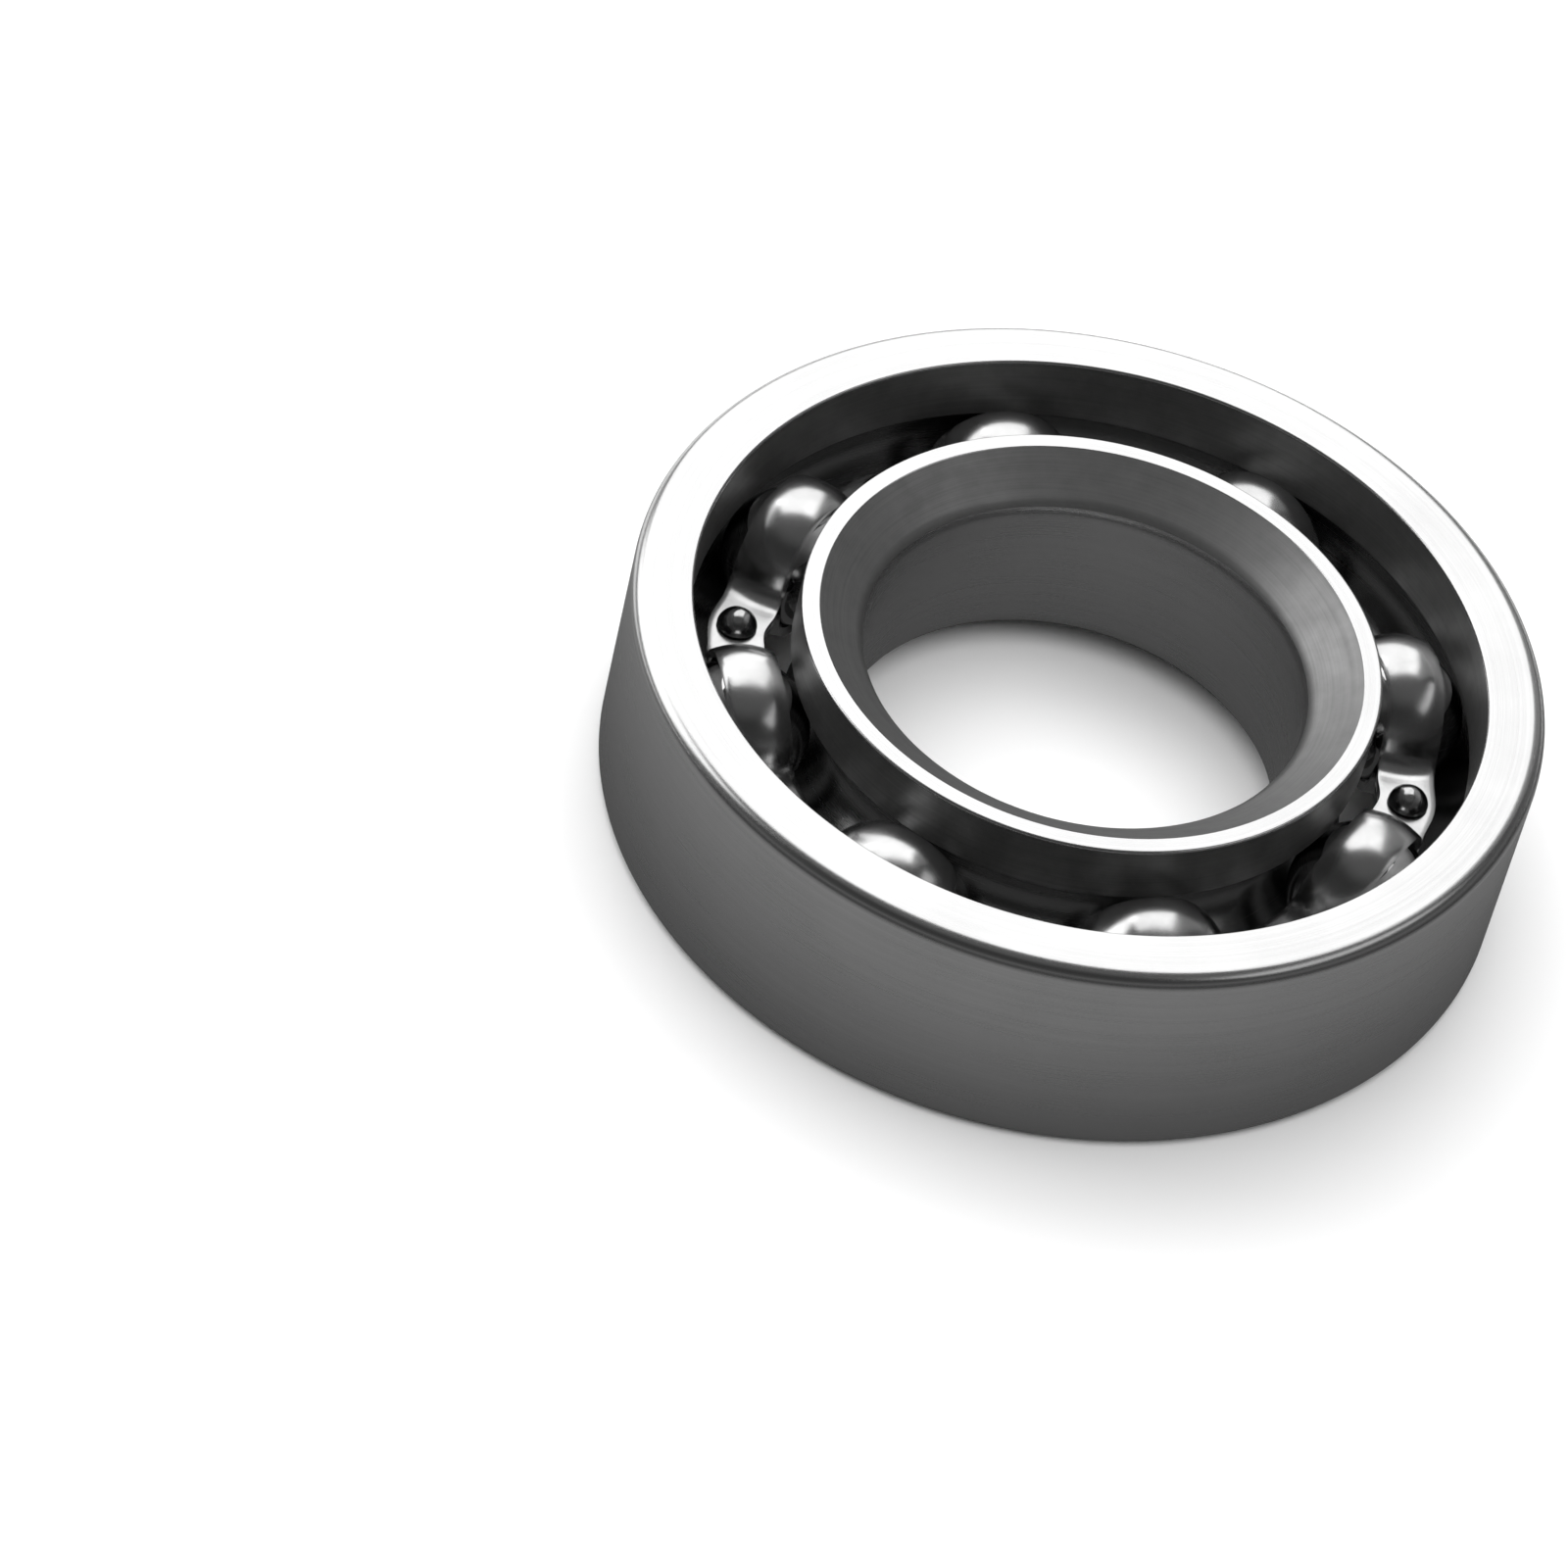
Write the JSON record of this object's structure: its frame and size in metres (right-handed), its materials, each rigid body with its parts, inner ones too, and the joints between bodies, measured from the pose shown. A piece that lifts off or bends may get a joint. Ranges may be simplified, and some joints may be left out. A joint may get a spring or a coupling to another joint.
{
  "type": "angular contact ball bearing",
  "caption": "Single-row angular contact ball bearing: ground outer and inner rings, balls in a riveted pressed-steel ribbon cage, open on both faces.",
  "frame": {"origin": "centre of the bearing: on its axis, midway between the two faces", "axes": "+Z along the axis, out of the open face where the outer ring's shoulder is relieved; +X through the centre of ball_1"},
  "size_m": [0.062, 0.062, 0.016],
  "materials": {
    "ring_steel": "ground bearing steel",
    "ball_steel": "polished bearing steel",
    "cage_steel": "pressed sheet steel, bright rolled",
    "rivet_steel": "upset steel, satin"
  },
  "bodies": {
    "outer_ring": {"outer_ring": "ring_steel"},
    "inner_ring": {"inner_ring": "ring_steel"},
    "cage": {"cage_front_half": "cage_steel", "cage_back_half": "cage_steel", "rivet_1": "rivet_steel", "rivet_2": "rivet_steel", "rivet_3": "rivet_steel", "rivet_4": "rivet_steel", "rivet_5": "rivet_steel", "rivet_6": "rivet_steel", "rivet_7": "rivet_steel", "rivet_8": "rivet_steel"},
    "ball_1": {"ball_1": "ball_steel"},
    "ball_2": {"ball_2": "ball_steel"},
    "ball_3": {"ball_3": "ball_steel"},
    "ball_4": {"ball_4": "ball_steel"},
    "ball_5": {"ball_5": "ball_steel"},
    "ball_6": {"ball_6": "ball_steel"},
    "ball_7": {"ball_7": "ball_steel"},
    "ball_8": {"ball_8": "ball_steel"}
  },
  "joints": [
    {"name": "inner_spin", "type": "hinge", "parent": "outer_ring", "child": "inner_ring", "pos_m": [0, 0, 0], "axis": [0, 0, 1], "continuous": true},
    {"name": "cage_spin", "type": "hinge", "parent": "outer_ring", "child": "cage", "pos_m": [0, 0, 0], "axis": [0, 0, 1], "continuous": true},
    {"name": "ball_1_spin", "type": "hinge", "parent": "cage", "child": "ball_1", "pos_m": [0.023, 0, 0], "axis": [0.4226, 0, 0.9063], "continuous": true},
    {"name": "ball_2_spin", "type": "hinge", "parent": "cage", "child": "ball_2", "pos_m": [0.01626, 0.01626, 0], "axis": [0.2988, 0.2988, 0.9063], "continuous": true},
    {"name": "ball_3_spin", "type": "hinge", "parent": "cage", "child": "ball_3", "pos_m": [0, 0.023, 0], "axis": [0, 0.4226, 0.9063], "continuous": true},
    {"name": "ball_4_spin", "type": "hinge", "parent": "cage", "child": "ball_4", "pos_m": [-0.01626, 0.01626, 0], "axis": [-0.2988, 0.2988, 0.9063], "continuous": true},
    {"name": "ball_5_spin", "type": "hinge", "parent": "cage", "child": "ball_5", "pos_m": [-0.023, 0, 0], "axis": [-0.4226, 0, 0.9063], "continuous": true},
    {"name": "ball_6_spin", "type": "hinge", "parent": "cage", "child": "ball_6", "pos_m": [-0.01626, -0.01626, 0], "axis": [-0.2988, -0.2988, 0.9063], "continuous": true},
    {"name": "ball_7_spin", "type": "hinge", "parent": "cage", "child": "ball_7", "pos_m": [0, -0.023, 0], "axis": [0, -0.4226, 0.9063], "continuous": true},
    {"name": "ball_8_spin", "type": "hinge", "parent": "cage", "child": "ball_8", "pos_m": [0.01626, -0.01626, 0], "axis": [0.2988, -0.2988, 0.9063], "continuous": true}
  ],
  "couplings": [
    {"joint": "cage_spin", "follows": "inner_spin", "ratio": 0.40617},
    {"joint": "ball_1_spin", "follows": "inner_spin", "ratio": -2.3297},
    {"joint": "ball_2_spin", "follows": "inner_spin", "ratio": -2.3297},
    {"joint": "ball_3_spin", "follows": "inner_spin", "ratio": -2.3297},
    {"joint": "ball_4_spin", "follows": "inner_spin", "ratio": -2.3297},
    {"joint": "ball_5_spin", "follows": "inner_spin", "ratio": -2.3297},
    {"joint": "ball_6_spin", "follows": "inner_spin", "ratio": -2.3297},
    {"joint": "ball_7_spin", "follows": "inner_spin", "ratio": -2.3297},
    {"joint": "ball_8_spin", "follows": "inner_spin", "ratio": -2.3297}
  ]
}
